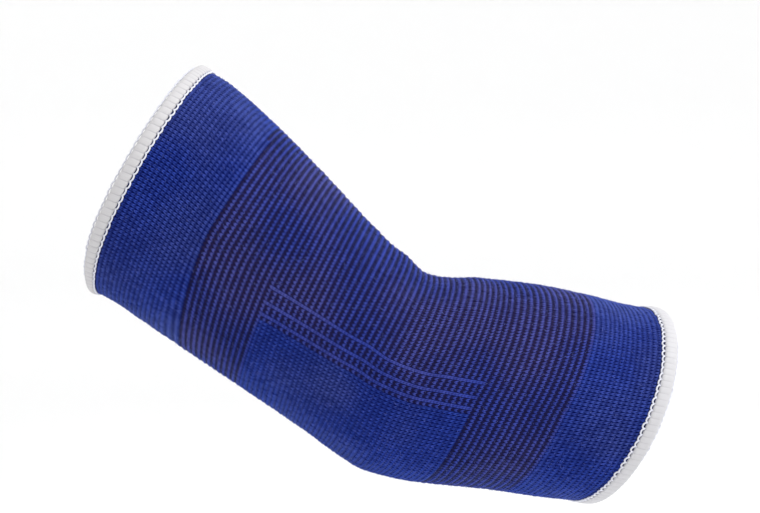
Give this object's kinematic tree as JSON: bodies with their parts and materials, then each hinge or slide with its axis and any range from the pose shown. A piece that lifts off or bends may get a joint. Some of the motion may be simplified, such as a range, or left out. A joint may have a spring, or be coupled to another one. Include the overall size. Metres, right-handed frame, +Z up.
{
  "type": "knitted elbow brace",
  "caption": "Striped knitted elbow sleeve with a plain elbow patch and white overlocked edging, in the bent shape it has when worn.",
  "frame": {"origin": "centre of the elbow, inside the hollow sleeve", "axes": "+X from the upper arm end towards the forearm end, +Z up, +Y away from the viewer of the picture; the arm bends in a plane close to XZ"},
  "size_m": [0.2225, 0.1037, 0.1657],
  "materials": {
    "blue_knit": "matte elastic rib knit, royal blue with navy stripes and a plain blue elbow patch",
    "white_thread": "matte bulky white overlock thread"
  },
  "bodies": {
    "root": {"knit_sleeve": "blue_knit", "upper_hem": "white_thread", "lower_hem": "white_thread"}
  },
  "joints": []
}
